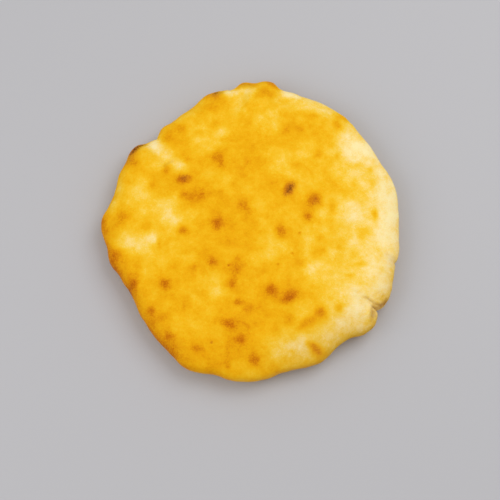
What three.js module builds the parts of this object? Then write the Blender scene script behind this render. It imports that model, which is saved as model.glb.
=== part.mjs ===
import * as THREE from 'three';

// Lepinja: a round, puffed flatbread that lies on its flat base with the browned face up.
// Millimetres, +Z up, origin in the middle of the base. +X is the bread's right, +Y its far side.
// Angles are in degrees, counted from +X towards +Y.

// Driving sizes
const RADIUS = 101;           // mean reach of the widest line from the middle
const CROWN = 28;             // height of the top face before its swells and hollows
const LEFT_WAIST = 10;        // height of the widest line on the left
const RIGHT_WAIST = 12.5;     // and on the right
const HEEL = 13;              // how far the base's edge lies inside the widest line
const LEFT_FULLNESS = 3.3;    // roundness of the shoulder on the left: higher is squarer
const RIGHT_FULLNESS = 2.4;   // the right shoulder falls off sooner and rounder
const LEFT_SIDE = 190;        // angle at which the rim has wholly its left form

// Facet sizes
const TOP_PITCH = 3.2;
const HEEL_RINGS = 5;
const BASE_PITCH_START = 5;
const BASE_PITCH_GROWTH = 1.45;
const FEWEST_SIDES = 6;

// Lobes (+) and hollows (-) of the outline: angle, reach and spread
const LOBES = [
  { angle: 5, reach: 0.8, spread: 6 },
  { angle: 17, reach: 4, spread: 10 },
  { angle: 36, reach: 2.2, spread: 8 },
  { angle: 50, reach: 4.8, spread: 8 },
  { angle: 62, reach: 3.9, spread: 7 },
  { angle: 73, reach: 3.3, spread: 6 },
  { angle: 80.5, reach: 1, spread: 2 },
  { angle: 83, reach: 8.5, spread: 5 },
  { angle: 90, reach: 0.8, spread: 3 },
  { angle: 92, reach: 6, spread: 5 },
  { angle: 95.2, reach: -1.4, spread: 2 },
  { angle: 104, reach: 2.5, spread: 8 },
  { angle: 114, reach: -4, spread: 6 },
  { angle: 125, reach: -7, spread: 8 },
  { angle: 132.3, reach: -1.1, spread: 2 },
  { angle: 137, reach: -7, spread: 6 },
  { angle: 150.5, reach: -3.4, spread: 5.5 },
  { angle: 164, reach: -6.5, spread: 10 },
  { angle: 171, reach: -0.9, spread: 4 },
  { angle: 188, reach: -4.5, spread: 7 },
  { angle: 199.5, reach: -1.4, spread: 3.5 },
  { angle: 203, reach: -6.5, spread: 10 },
  { angle: 214, reach: -8, spread: 10 },
  { angle: 224, reach: -1.3, spread: 5 },
  { angle: 231, reach: -4, spread: 11 },
  { angle: 247, reach: 1.6, spread: 6 },
  { angle: 258, reach: -1.8, spread: 5 },
  { angle: 268, reach: 4, spread: 25 },
  { angle: 284, reach: -2.2, spread: 7 },
  { angle: 297, reach: 1.8, spread: 6 },
  { angle: 309, reach: -1.2, spread: 5 },
  { angle: 320, reach: 6.5, spread: 7 },
  { angle: 333, reach: 4.5, spread: 7 },
  { angle: 349, reach: 2.2, spread: 9 },
];

// Sharp nicks where two lobes of dough meet at the rim: angle, depth and spread
const PINCH_ANGLE = 326;
const NICKS = [
  { angle: PINCH_ANGLE, depth: 4.5, spread: 1.2 },
  { angle: 134.5, depth: 3.5, spread: 1.8 },
  { angle: 97, depth: 1.2, spread: 1.5 },
  { angle: 346, depth: 2.2, spread: 1 },
];

// The outline's lobes and nicks die away from the rim inwards, the nicks soonest
const LOBE_FADE = 2;
const NICK_FADE = 9;
const NICK_AT_BASE = 0.35;    // share of a nick that is left at the base's edge

// Swells (+) and hollows (-) of the top face: place, half length, half width, turn and rise
const SWELLS = [
  { x: 0, y: 5, long: 62, wide: 52, turn: 0, rise: 2.2 },
  { x: -74, y: 44, long: 17, wide: 11, turn: 50, rise: 2.4 },
  { x: -45, y: 74, long: 17, wide: 12, turn: 30, rise: 2.2 },
  { x: -22, y: 88, long: 11, wide: 9, turn: 20, rise: 1.6 },
  { x: 9, y: 96, long: 13, wide: 9, turn: 75, rise: 3 },
  { x: -9, y: 91, long: 9, wide: 5, turn: 60, rise: -2 },
  { x: 26, y: 92, long: 9, wide: 6, turn: -20, rise: -1.6 },
  { x: 55, y: 77, long: 16, wide: 9, turn: -38, rise: 2 },
  { x: 70, y: 54, long: 11, wide: 8, turn: -40, rise: -1.4 },
  { x: 84, y: 24, long: 14, wide: 10, turn: 90, rise: 1.2 },
  { x: 84, y: -40, long: 15, wide: 10, turn: 70, rise: 2 },
  { x: 62, y: -67, long: 19, wide: 12, turn: 38, rise: 2 },
  { x: 76, y: -60, long: 8, wide: 5, turn: -60, rise: 1.2 },
  { x: 30, y: -86, long: 16, wide: 9, turn: 12, rise: -1.1 },
  { x: -4, y: -86, long: 16, wide: 10, turn: 0, rise: 1 },
  { x: -50, y: -74, long: 17, wide: 11, turn: -42, rise: 1.3 },
  { x: -74, y: -46, long: 13, wide: 10, turn: -60, rise: 1.3 },
  { x: -76, y: -17, long: 13, wide: 7, turn: 12, rise: -1.8 },
  { x: -84, y: 4, long: 12, wide: 10, turn: 80, rise: 1.5 },
  { x: -66, y: 20, long: 15, wide: 9, turn: 95, rise: -1 },
  { x: -28, y: 22, long: 20, wide: 12, turn: 10, rise: 0.8 },
  { x: -25, y: 56, long: 14, wide: 8, turn: 30, rise: -0.8 },
  { x: 32, y: 62, long: 18, wide: 11, turn: -10, rise: 0.7 },
  { x: 34, y: 14, long: 18, wide: 12, turn: 40, rise: 0.8 },
  { x: 42, y: -28, long: 18, wide: 11, turn: 80, rise: -0.9 },
  { x: 8, y: -20, long: 20, wide: 10, turn: 20, rise: -0.6 },
  { x: 18, y: -52, long: 17, wide: 10, turn: 15, rise: 0.9 },
  { x: -22, y: -50, long: 14, wide: 10, turn: 60, rise: -0.8 },
  { x: -52, y: -26, long: 14, wide: 9, turn: 30, rise: -0.7 },
];

// Creases pressed into the top face: start, end, half width and depth at each end
const CREASES = [
  { from: [-45, 36], to: [-69, 61], halfWidth: 5, shallow: 1, deep: 4.5 },
  { from: [72, -50], to: [93, -62], halfWidth: 3, shallow: 1.4, deep: 7 },
  { from: [-7, 82], to: [-2, 100], halfWidth: 3.5, shallow: 0.4, deep: 1.8 },
  { from: [20, 84], to: [21, 99], halfWidth: 3.5, shallow: 0.3, deep: 1.4 },
  { from: [88, -21], to: [100, -25], halfWidth: 2.4, shallow: 0.1, deep: 1.2 },
];

// Blisters raised where the crust has charred: place, radius and rise
const BLISTERS = [
  { x: 26, y: 21, radius: 6, rise: 1.1 },
  { x: 43, y: 14, radius: 6, rise: 0.9 },
  { x: -45, y: 29, radius: 6, rise: 1.1 },
  { x: -56, y: 37, radius: 5.5, rise: 1 },
  { x: -22.5, y: -2, radius: 6, rise: 0.8 },
  { x: -56, y: -45, radius: 5.5, rise: 0.9 },
  { x: 26, y: -54, radius: 7, rise: 1 },
  { x: 13.7, y: -48, radius: 5.5, rise: 0.8 },
  { x: -11.5, y: -45, radius: 5, rise: 0.7 },
  { x: -13.6, y: -72, radius: 7, rise: 0.8 },
  { x: 47, y: -64, radius: 5, rise: 0.8 },
  { x: 20, y: -7.6, radius: 5, rise: 0.7 },
  { x: -25.4, y: -30, radius: 5, rise: 0.7 },
  { x: 53, y: 23, radius: 7, rise: 0.7 },
  { x: -23, y: 46, radius: 6, rise: 0.7 },
  { x: -77, y: -44, radius: 6, rise: 0.8 },
];

// Faint swaying waves that leave no part of the crust quite even
const WAVES = [
  { length: 37, heading: 25, start: 40, sway: 9, swayLength: 83, height: 0.4 },
  { length: 49, heading: 112, start: 200, sway: 8, swayLength: 61, height: 0.4 },
  { length: 22, heading: 160, start: 310, sway: 6, swayLength: 47, height: 0.18 },
];

const radians = THREE.MathUtils.degToRad;

function angleBetween(a, b) {
  return THREE.MathUtils.euclideanModulo(a - b + 180, 360) - 180;
}

function bell(distance) {
  return Math.exp(-distance * distance);
}

// Distance from the middle, at a share of the way out to the widest line and with a share of the nicks
function reachAt(share, angle, nicked) {
  let reach = RADIUS;
  for (const lobe of LOBES) {
    reach += lobe.reach * bell(angleBetween(angle, lobe.angle) / lobe.spread) * share ** LOBE_FADE;
  }
  for (const nick of NICKS) {
    reach -= nicked * nick.depth * Math.exp(-Math.abs(angleBetween(angle, nick.angle)) / nick.spread);
  }
  return share * reach;
}

// The point at a distance from the middle, at an angle and a height
function polarPoint(reach, angle, height) {
  return new THREE.Vector3(reach * Math.cos(radians(angle)), reach * Math.sin(radians(angle)), height);
}

// 1 on the left of the bread and 0 on the right
function leftness(angle) {
  return (1 + Math.cos(radians(angle - LEFT_SIDE))) / 2;
}

function waist(angle) {
  return THREE.MathUtils.lerp(RIGHT_WAIST, LEFT_WAIST, leftness(angle));
}

function fullness(angle) {
  return THREE.MathUtils.lerp(RIGHT_FULLNESS, LEFT_FULLNESS, leftness(angle));
}

// Share of the crown's height that is left at a share of the way out to the widest line
function shoulder(share, power) {
  return Math.max(0, 1 - share ** power) ** (1 / power);
}

function swellHeight(swell, x, y) {
  const turn = radians(swell.turn);
  const along = (x - swell.x) * Math.cos(turn) + (y - swell.y) * Math.sin(turn);
  const across = (y - swell.y) * Math.cos(turn) - (x - swell.x) * Math.sin(turn);
  return swell.rise * bell(Math.hypot(along / swell.long, across / swell.wide));
}

function creaseDepth(crease, x, y) {
  const start = new THREE.Vector2(...crease.from);
  const run = new THREE.Vector2(...crease.to).sub(start);
  const point = new THREE.Vector2(x, y).sub(start);
  const share = THREE.MathUtils.clamp(point.dot(run) / run.lengthSq(), 0, 1);
  const distance = point.sub(run.multiplyScalar(share)).length();
  return THREE.MathUtils.lerp(crease.shallow, crease.deep, share) * bell(distance / crease.halfWidth);
}

function blisterHeight(blister, x, y) {
  return blister.rise * bell(Math.hypot(x - blister.x, y - blister.y) / blister.radius);
}

function waveHeight(wave, x, y) {
  const heading = radians(wave.heading);
  const along = x * Math.cos(heading) + y * Math.sin(heading);
  const across = y * Math.cos(heading) - x * Math.sin(heading);
  const sway = wave.sway * Math.sin(2 * Math.PI * across / wave.swayLength);
  return wave.height * Math.sin(2 * Math.PI * (along + sway) / wave.length + radians(wave.start));
}

function topHeight(x, y) {
  let height = CROWN;
  SWELLS.forEach((swell) => { height += swellHeight(swell, x, y); });
  BLISTERS.forEach((blister) => { height += blisterHeight(blister, x, y); });
  WAVES.forEach((wave) => { height += waveHeight(wave, x, y); });
  CREASES.forEach((crease) => { height -= creaseDepth(crease, x, y); });
  return height;
}

// A point of the top, from 0 in the middle to 1 at the widest line
function topPoint(share, angle) {
  const point = polarPoint(reachAt(share, angle, share ** NICK_FADE), angle, waist(angle));
  point.z += (topHeight(point.x, point.y) - point.z) * shoulder(share, fullness(angle));
  return point;
}

// A point of the heel, from 0 at the widest line to 1 at the base's edge
function heelPoint(share, angle) {
  const turn = share * Math.PI / 2;
  const reach = reachAt(1, angle, THREE.MathUtils.lerp(1, NICK_AT_BASE, share));
  return polarPoint(reach - HEEL * (1 - Math.cos(turn)), angle, waist(angle) * (1 - Math.sin(turn)));
}

// A point of the flat base, from 0 in the middle to 1 at its edge
function basePoint(share, angle) {
  return polarPoint(share * (reachAt(1, angle, NICK_AT_BASE) - HEEL), angle, 0);
}

// Mean section of the top, which spaces the rings evenly along the crust
class TopSection extends THREE.Curve {
  getPoint(share, target = new THREE.Vector3()) {
    const height = CROWN - (LEFT_WAIST + RIGHT_WAIST) / 2;
    return target.set(share * RADIUS, 0, height * shoulder(share, (LEFT_FULLNESS + RIGHT_FULLNESS) / 2));
  }
}

// One ring of points, starting at the pinch so that every ring has a point in it
function ring(pointAt, share, pitch) {
  const sides = Math.max(FEWEST_SIDES, Math.round(2 * Math.PI * share * RADIUS / pitch));
  return Array.from({ length: sides }, (_, i) => pointAt(share, PINCH_ANGLE + 360 * i / sides));
}

function topRings() {
  const section = new TopSection();
  section.arcLengthDivisions = 1000;
  const count = Math.round(section.getLength() / TOP_PITCH);
  const rings = [];
  for (let i = 1; i <= count; i += 1) {
    rings.push(ring(topPoint, section.getUtoTmapping(i / count), TOP_PITCH));
  }
  return rings;
}

function heelRings(sides) {
  const rings = [];
  for (let i = 1; i <= HEEL_RINGS; i += 1) {
    const share = i / HEEL_RINGS;
    rings.push(Array.from({ length: sides }, (_, k) => heelPoint(share, PINCH_ANGLE + 360 * k / sides)));
  }
  return rings;
}

function baseRings() {
  const edge = RADIUS - HEEL;
  const rings = [];
  let pitch = BASE_PITCH_START;
  for (let reach = edge - pitch; reach > pitch; reach -= pitch) {
    pitch *= BASE_PITCH_GROWTH;
    rings.push(ring(basePoint, reach / edge, pitch));
  }
  return rings;
}

// Joins two neighbouring rings with triangles, always stepping along the ring that lags behind
function stitch(first, firstSides, second, secondSides, triangles) {
  let i = 0;
  let k = 0;
  while (i < firstSides || k < secondSides) {
    const a = first + i % firstSides;
    const b = second + k % secondSides;
    if (k >= secondSides || (i < firstSides && (i + 0.5) / firstSides <= (k + 0.5) / secondSides)) {
      i += 1;
      triangles.push(a, b, first + i % firstSides);
    } else {
      k += 1;
      triangles.push(a, b, second + k % secondSides);
    }
  }
}

function fan(hub, start, sides, facesOut, triangles) {
  for (let i = 0; i < sides; i += 1) {
    const a = start + i;
    const b = start + (i + 1) % sides;
    triangles.push(...(facesOut ? [hub, a, b] : [hub, b, a]));
  }
}

// The whole skin of the bread as one closed body, centred over its own footprint
function breadGeometry() {
  const top = topRings();
  const rings = [...top, ...heelRings(top[top.length - 1].length), ...baseRings()];
  const points = [topPoint(0, 0)];
  const triangles = [];
  const starts = [];
  for (const each of rings) {
    starts.push(points.length);
    points.push(...each);
  }
  points.push(basePoint(0, 0));
  fan(0, starts[0], rings[0].length, true, triangles);
  for (let i = 1; i < rings.length; i += 1) {
    stitch(starts[i - 1], rings[i - 1].length, starts[i], rings[i].length, triangles);
  }
  const last = rings.length - 1;
  fan(points.length - 1, starts[last], rings[last].length, false, triangles);

  const geometry = new THREE.BufferGeometry().setFromPoints(points);
  geometry.setIndex(triangles);
  geometry.computeBoundingBox();
  const middle = geometry.boundingBox.getCenter(new THREE.Vector3());
  geometry.translate(-middle.x, -middle.y, 0);
  geometry.computeVertexNormals();
  return geometry;
}

const crust = new THREE.MeshStandardMaterial({ color: 0xf0b030, roughness: 0.6, metalness: 0 });

const lepinja = new THREE.Mesh(breadGeometry(), crust);
lepinja.name = 'lepinja';

const group = new THREE.Group();
group.name = 'bread';
group.add(lepinja);

export default group;
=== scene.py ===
"""Dresses one lepinja, a round puffed flatbread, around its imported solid.

The bread is measured in millimetres and degrees, as a baker would measure it, and turns into
metres once, where its mesh is made. +Z is up, +X is the bread's right and +Y its far side. Angles
count from +X towards +Y.
"""

import logging
import math
from dataclasses import dataclass, field
from enum import Enum

import bpy
import numpy as np
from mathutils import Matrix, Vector, noise


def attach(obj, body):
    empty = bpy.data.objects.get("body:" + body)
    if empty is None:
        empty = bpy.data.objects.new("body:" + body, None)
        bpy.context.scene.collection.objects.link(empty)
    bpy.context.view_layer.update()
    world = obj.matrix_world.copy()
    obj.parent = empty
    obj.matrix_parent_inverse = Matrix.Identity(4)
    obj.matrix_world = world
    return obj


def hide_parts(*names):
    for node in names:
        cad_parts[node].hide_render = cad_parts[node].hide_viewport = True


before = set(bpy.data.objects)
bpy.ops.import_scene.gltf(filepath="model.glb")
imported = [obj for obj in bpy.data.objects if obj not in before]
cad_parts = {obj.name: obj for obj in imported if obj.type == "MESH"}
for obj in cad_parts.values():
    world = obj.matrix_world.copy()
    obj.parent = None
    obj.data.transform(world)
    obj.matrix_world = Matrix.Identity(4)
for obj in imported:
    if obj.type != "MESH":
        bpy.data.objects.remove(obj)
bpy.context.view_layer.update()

MM = 0.001
LOG = logging.getLogger("lepinja")

# A mark's bell has sunk to about a third at this many of its half widths from the middle
MARK_SPREAD = 1.2
# How far the brownest crust is baked, where 0 is pale and 1 is well browned
MOST_BAKED = 1.2
# A wrinkle fades out between these shares of the way from its middle to its ends
TAPER_START, TAPER_END = 0.65, 1.05
# The colour sockets of a Mix node
MIX_FIRST, MIX_SECOND, MIX_RESULT = 6, 7, 2

Array = np.ndarray
Colour = tuple[float, float, float, float]
Place = tuple[float, float]
Triple = tuple[float, float, float]
Triangle = tuple[int, int, int]


def bell(distance: Array) -> Array:
    """A smooth bump, 1 at no distance and near 0 beyond two."""
    return np.exp(-distance ** 2)


def blend(low: float, high: float, share: Array) -> Array:
    """The value at a share of the way from low to high."""
    return low + (high - low) * share


def rise_between(start: float, end: float, value: Array) -> Array:
    """A smooth step from 0 at start to 1 at end."""
    share = np.clip((value - start) / (end - start), 0.0, 1.0)
    return share * share * (3.0 - 2.0 * share)


def turned(x: Array, y: Array, turn: float) -> tuple[Array, Array]:
    """The lengths along and across a direction.

    Args:
        x: distances to the right.
        y: distances to the far side.
        turn: the direction's angle in degrees.

    Returns:
        The distances along the direction and across it.
    """
    cos, sin = math.cos(math.radians(turn)), math.sin(math.radians(turn))
    return x * cos + y * sin, y * cos - x * sin


def turn_between(angle: Array, other: float) -> Array:
    """The signed difference of two directions in degrees, from -180 to 180."""
    return (angle - other + 180.0) % 360.0 - 180.0


def near_stretch(x: Array, y: Array, start: Place, end: Place) -> tuple[Array, Array]:
    """Where each place lies beside a straight stretch.

    Args:
        x: distances to the right.
        y: distances to the far side.
        start: the stretch's first end.
        end: its other end.

    Returns:
        The nearest point as a share of the way along, and the distance to it.
    """
    run_x, run_y = end[0] - start[0], end[1] - start[1]
    off_x, off_y = x - start[0], y - start[1]
    share = np.clip((off_x * run_x + off_y * run_y) / (run_x ** 2 + run_y ** 2), 0.0, 1.0)
    return share, np.hypot(off_x - share * run_x, off_y - share * run_y)


def laid(reach: Array | float, angle: Array, height: Array) -> Array:
    """The places at distances from the middle, at angles in degrees and at heights."""
    turn = np.radians(angle)
    return np.stack([reach * np.cos(turn), reach * np.sin(turn), height], -1)


@dataclass(frozen=True)
class Unevenness:
    """Smooth noise, the same in every run: the width of its bumps, its strength and its seed."""

    size: float
    strength: float
    seed: float

    def at(self, places: Array) -> Array:
        """One value for each place, from about -strength to strength."""
        scaled = places / self.size + self.seed
        return self.strength * np.array([noise.noise(Vector(place)) for place in scaled])


@dataclass(frozen=True)
class Lobe:
    """A lobe (+) or hollow (-) of the outline: direction, reach and half spread in degrees."""

    angle: float
    reach: float
    spread: float

    def push(self, angle: Array) -> Array:
        """How far it pushes the outline out in each direction."""
        return self.reach * bell(turn_between(angle, self.angle) / self.spread)


@dataclass(frozen=True)
class Nick:
    """A sharp nick where two lobes of dough meet at the rim: direction, depth and half spread."""

    angle: float
    depth: float
    spread: float

    def cut(self, angle: Array) -> Array:
        """How far it cuts into the outline in each direction."""
        return self.depth * np.exp(-np.abs(turn_between(angle, self.angle)) / self.spread)


@dataclass(frozen=True)
class Swell:
    """A swell (+) or hollow (-) of the top face: place, half length, half width, turn and rise."""

    x: float
    y: float
    long: float
    wide: float
    turn: float
    rise: float

    def height(self, x: Array, y: Array) -> Array:
        """How far it lifts the top face at each place."""
        along, across = turned(x - self.x, y - self.y, self.turn)
        return self.rise * bell(np.hypot(along / self.long, across / self.wide))


@dataclass(frozen=True)
class Crease:
    """A crease pressed into the top face, from its shallow end to its deep one."""

    start: Place
    end: Place
    half_width: float
    shallow: float
    deep: float

    def depth(self, x: Array, y: Array) -> Array:
        """How far it lowers the top face at each place."""
        share, distance = near_stretch(x, y, self.start, self.end)
        return blend(self.shallow, self.deep, share) * bell(distance / self.half_width)


@dataclass(frozen=True)
class Wave:
    """A faint wave that leaves no part of the crust quite even, and sways as it goes."""

    length: float
    heading: float
    start: float
    sway: float
    sway_length: float
    height: float

    def lift(self, x: Array, y: Array) -> Array:
        """How far it lifts or lowers the top face.

        Args:
            x: distances to the right.
            y: distances to the far side.

        Returns:
            The lift at each place.
        """
        along, across = turned(x, y, self.heading)
        sway = self.sway * np.sin(math.tau * across / self.sway_length)
        phase = math.tau * (along + sway) / self.length + math.radians(self.start)
        return self.height * np.sin(phase)


@dataclass(frozen=True)
class Spot:
    """A mark on the top face: its place, half length, half width, strength and turn."""

    x: float
    y: float
    long: float
    wide: float
    strength: float
    turn: float = 0.0

    def cover(self, x: Array, y: Array) -> Array:
        """How strongly it marks each place."""
        along, across = turned(x - self.x, y - self.y, self.turn)
        return self.strength * bell(np.hypot(along / self.long, across / self.wide) / MARK_SPREAD)


@dataclass(frozen=True)
class RimMark:
    """A mark on the rim: direction, half spread, inset, half breadth and strength."""

    angle: float
    spread: float
    inset: float
    breadth: float
    strength: float

    def cover(self, angle: Array, inset: Array) -> Array:
        """How strongly it marks each place."""
        along = turn_between(angle, self.angle) / self.spread
        return self.strength * bell(np.hypot(along, (inset - self.inset) / self.breadth))


@dataclass(frozen=True)
class Wrinkle:
    """A fine wrinkle of the skin, sunk (+) or raised (-), and how much painted shade darkens it."""

    points: tuple[Place, ...]
    half_width: float
    depth: float
    shade: float

    def cover(self, x: Array, y: Array) -> Array:
        """How fully it covers each place.

        Args:
            x: distances to the right.
            y: distances to the far side.

        Returns:
            1 on the wrinkle, fading to both sides and towards its ends.
        """
        nearest, taper = np.full_like(x, np.inf), np.zeros_like(x)
        stretches = list(zip(self.points, self.points[1:]))
        for number, (start, end) in enumerate(stretches):
            share, distance = near_stretch(x, y, start, end)
            off_middle = np.abs(2.0 * (number + share) / len(stretches) - 1.0)
            fade = 1.0 - rise_between(TAPER_START, TAPER_END, off_middle)
            taper = np.where(distance < nearest, fade, taper)
            nearest = np.minimum(nearest, distance)
        return bell(nearest / self.half_width) * taper


LOBES = (
    Lobe(5, 0.8, 6), Lobe(17, 4, 10), Lobe(36, 2.2, 8), Lobe(50, 4.8, 8), Lobe(62, 3.9, 7),
    Lobe(73, 3.3, 6), Lobe(80.5, 1, 2), Lobe(83, 8.5, 5), Lobe(90, 0.8, 3), Lobe(92, 6, 5),
    Lobe(95.2, -1.4, 2), Lobe(104, 2.5, 8), Lobe(114, -4, 6), Lobe(125, -7, 8),
    Lobe(132.3, -1.1, 2), Lobe(137, -7, 6), Lobe(150.5, -3.4, 5.5), Lobe(164, -6.5, 10),
    Lobe(171, -0.9, 4), Lobe(188, -4.5, 7), Lobe(199.5, -1.4, 3.5), Lobe(203, -6.5, 10),
    Lobe(214, -8, 10), Lobe(224, -1.3, 5), Lobe(231, -4, 11), Lobe(247, 1.6, 6), Lobe(258, -1.8, 5),
    Lobe(268, 4, 25), Lobe(284, -2.2, 7), Lobe(297, 1.8, 6), Lobe(309, -1.2, 5), Lobe(320, 6.5, 7),
    Lobe(333, 4.5, 7), Lobe(349, 2.2, 9),
)

PINCH_ANGLE = 326.0
NICKS = (
    Nick(PINCH_ANGLE, 4.5, 1.2),
    Nick(134.5, 3.5, 1.8),
    Nick(97, 1.2, 1.5),
    Nick(346, 2.2, 1),
)

SWELLS = (
    Swell(0, 5, 62, 52, 0, 2.2), Swell(-74, 44, 17, 11, 50, 2.4), Swell(-45, 74, 17, 12, 30, 2.2),
    Swell(-22, 88, 11, 9, 20, 1.6), Swell(9, 96, 13, 9, 75, 3), Swell(-9, 91, 9, 5, 60, -2),
    Swell(26, 92, 9, 6, -20, -1.6), Swell(55, 77, 16, 9, -38, 2), Swell(70, 54, 11, 8, -40, -1.4),
    Swell(84, 24, 14, 10, 90, 1.2), Swell(84, -40, 15, 10, 70, 2), Swell(62, -67, 19, 12, 38, 2),
    Swell(76, -60, 8, 5, -60, 1.2), Swell(30, -86, 16, 9, 12, -1.1), Swell(-4, -86, 16, 10, 0, 1),
    Swell(-50, -74, 17, 11, -42, 1.3), Swell(-74, -46, 13, 10, -60, 1.3),
    Swell(-76, -17, 13, 7, 12, -1.8), Swell(-84, 4, 12, 10, 80, 1.5), Swell(-66, 20, 15, 9, 95, -1),
    Swell(-28, 22, 20, 12, 10, 0.8), Swell(-25, 56, 14, 8, 30, -0.8),
    Swell(32, 62, 18, 11, -10, 0.7), Swell(34, 14, 18, 12, 40, 0.8),
    Swell(42, -28, 18, 11, 80, -0.9), Swell(8, -20, 20, 10, 20, -0.6),
    Swell(18, -52, 17, 10, 15, 0.9), Swell(-22, -50, 14, 10, 60, -0.8),
    Swell(-52, -26, 14, 9, 30, -0.7),
)

CREASES = (
    Crease((-45, 36), (-69, 61), 5, 1, 4.5),
    Crease((72, -50), (93, -62), 3, 1.4, 7),
    Crease((-7, 82), (-2, 100), 3.5, 0.4, 1.8),
    Crease((20, 84), (21, 99), 3.5, 0.3, 1.4),
    Crease((88, -21), (100, -25), 2.4, 0.1, 1.2),
)

BLISTERS = (
    Swell(26, 21, 6, 6, 0, 1.1), Swell(43, 14, 6, 6, 0, 0.9), Swell(-45, 29, 6, 6, 0, 1.1),
    Swell(-56, 37, 5.5, 5.5, 0, 1), Swell(-22.5, -2, 6, 6, 0, 0.8),
    Swell(-56, -45, 5.5, 5.5, 0, 0.9), Swell(26, -54, 7, 7, 0, 1),
    Swell(13.7, -48, 5.5, 5.5, 0, 0.8), Swell(-11.5, -45, 5, 5, 0, 0.7),
    Swell(-13.6, -72, 7, 7, 0, 0.8), Swell(47, -64, 5, 5, 0, 0.8), Swell(20, -7.6, 5, 5, 0, 0.7),
    Swell(-25.4, -30, 5, 5, 0, 0.7), Swell(53, 23, 7, 7, 0, 0.7), Swell(-23, 46, 6, 6, 0, 0.7),
    Swell(-77, -44, 6, 6, 0, 0.8),
)

WAVES = (
    Wave(37, 25, 40, 9, 83, 0.4),
    Wave(49, 112, 200, 8, 61, 0.4),
    Wave(22, 160, 310, 6, 47, 0.18),
)

# Near-black cores, where a blister's skin has burnt
SCORCHED = (
    Spot(26.9, 20.6, 3.2, 1.8, 0.7, 60), Spot(24.2, 16.8, 1.6, 1.2, 0.25, 50),
    Spot(-44.2, 28.6, 2.2, 1.7, 0.38, 20), Spot(43.2, 12, 1.8, 2.6, 0.14),
    Spot(-25, -84, 0.7, 0.5, 0.3),
)

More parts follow.
